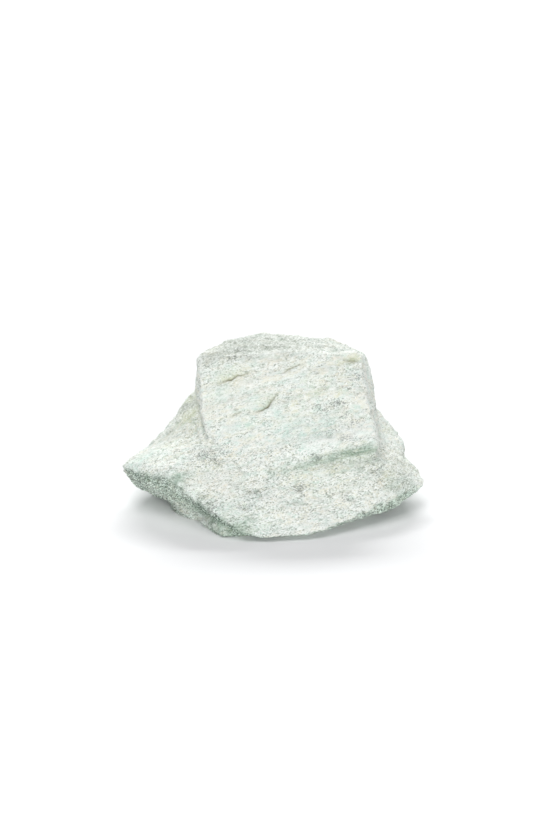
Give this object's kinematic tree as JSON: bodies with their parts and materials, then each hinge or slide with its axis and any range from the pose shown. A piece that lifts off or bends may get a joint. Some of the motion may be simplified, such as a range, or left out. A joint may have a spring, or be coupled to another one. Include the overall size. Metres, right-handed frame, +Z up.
{
  "type": "raw fuchsite stone",
  "caption": "Rough, unpolished piece of pale green mica schist with one broad sloping split face, a ledge, and an undercut rim.",
  "frame": {"origin": "middle of the bounding box's bottom face, on the flat face that the stone rests on", "axes": "+X along the stone, from its sharp left tip to its right tip; -Y the side that the split face looks to; +Z up"},
  "size_m": [0.07, 0.0526, 0.0341],
  "materials": {
    "mica_schist": "rough broken mineral, matt with fine mica glints"
  },
  "bodies": {
    "root": {"stone": "mica_schist"}
  },
  "joints": []
}
